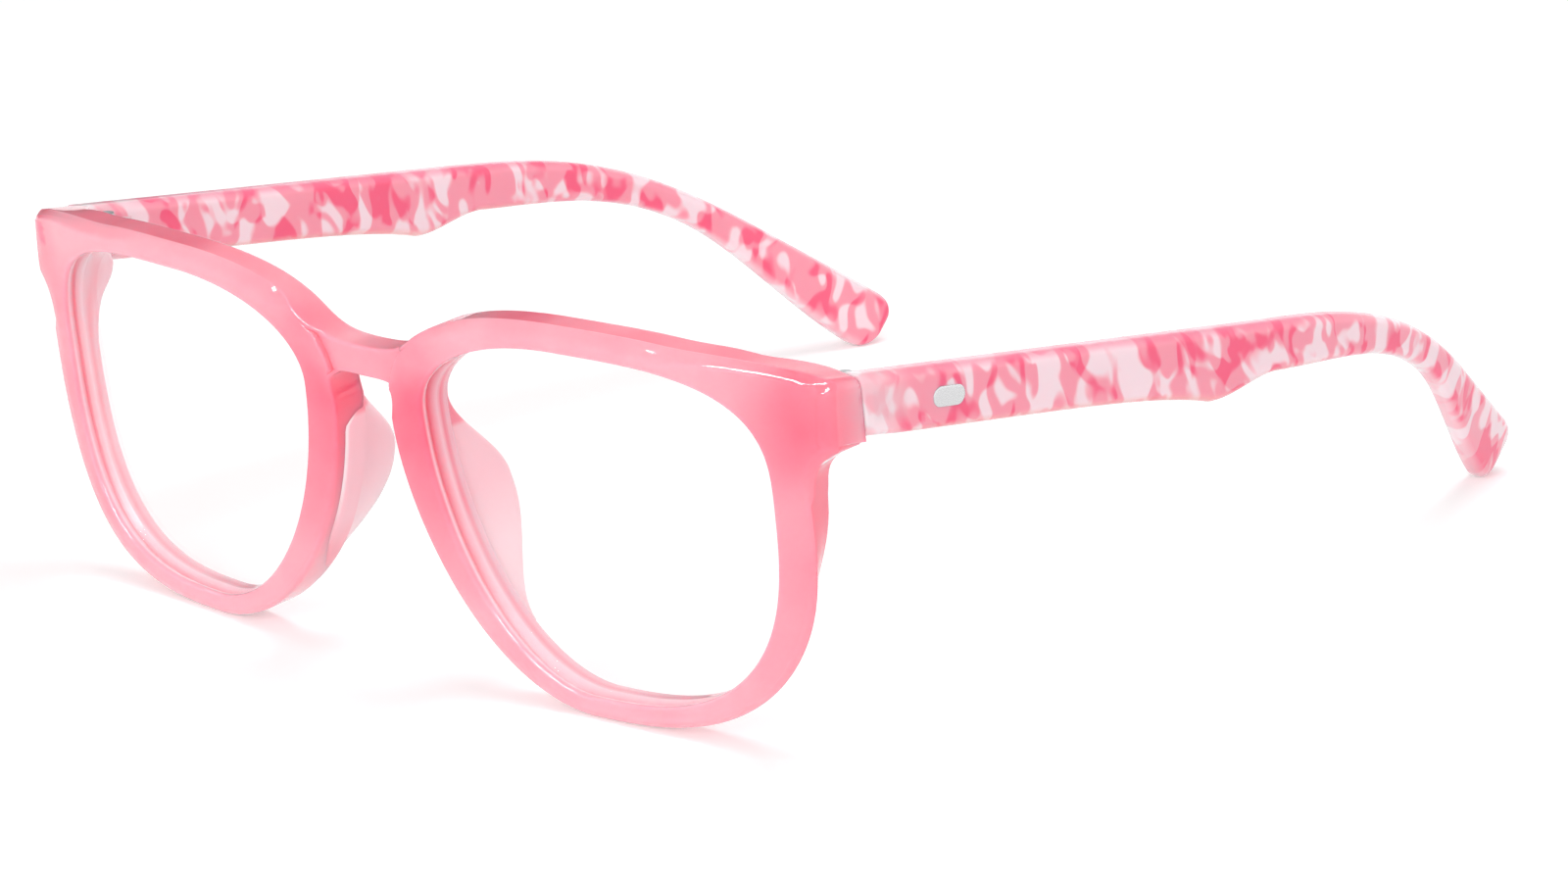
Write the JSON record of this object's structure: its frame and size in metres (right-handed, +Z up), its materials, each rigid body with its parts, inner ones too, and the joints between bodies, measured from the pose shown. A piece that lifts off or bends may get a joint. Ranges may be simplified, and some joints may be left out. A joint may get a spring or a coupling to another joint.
{
  "type": "blue light glasses",
  "caption": "Pink plastic eyeglasses with clear lenses, a keyhole bridge, bonded nose pads and patterned temples that fold on screwed hinges.",
  "frame": {"origin": "on the table, midway between left and right and midway between the front and the temple tips", "axes": "+Z up, the front faces -Y, the temples run back along +Y, +X is the wearer's left"},
  "size_m": [0.146, 0.1522, 0.0492],
  "materials": {
    "front_plastic": "glossy, milky, translucent pink",
    "pad_plastic": "pale translucent pink",
    "temple_plastic": "glossy, pale with a pink tortoise pattern",
    "lens_plastic": "clear, polished",
    "hinge_metal": "plain",
    "screw_metal": "plain",
    "inlay_metal": "satin"
  },
  "bodies": {
    "frame": {"front_frame": "front_plastic", "lens_left": "lens_plastic", "lens_right": "lens_plastic", "nose_pad_left": "pad_plastic", "nose_pad_right": "pad_plastic", "hinge_front_left": "hinge_metal", "hinge_front_right": "hinge_metal", "hinge_screw_left": "screw_metal", "hinge_screw_right": "screw_metal"},
    "left_temple": {"temple_left": "temple_plastic", "hinge_temple_left": "hinge_metal", "temple_inlay_left": "inlay_metal"},
    "right_temple": {"temple_right": "temple_plastic", "hinge_temple_right": "hinge_metal", "temple_inlay_right": "inlay_metal"}
  },
  "joints": [
    {"name": "fold_left", "type": "hinge", "parent": "frame", "child": "left_temple", "pos_m": [0.06595, -0.05888, 0.04228], "axis": [0, -0.0862, 0.9963], "range_deg": [0, 90]},
    {"name": "fold_right", "type": "hinge", "parent": "frame", "child": "right_temple", "pos_m": [-0.06595, -0.05888, 0.04228], "axis": [0, 0.0862, -0.9963], "range_deg": [0, 82]}
  ]
}
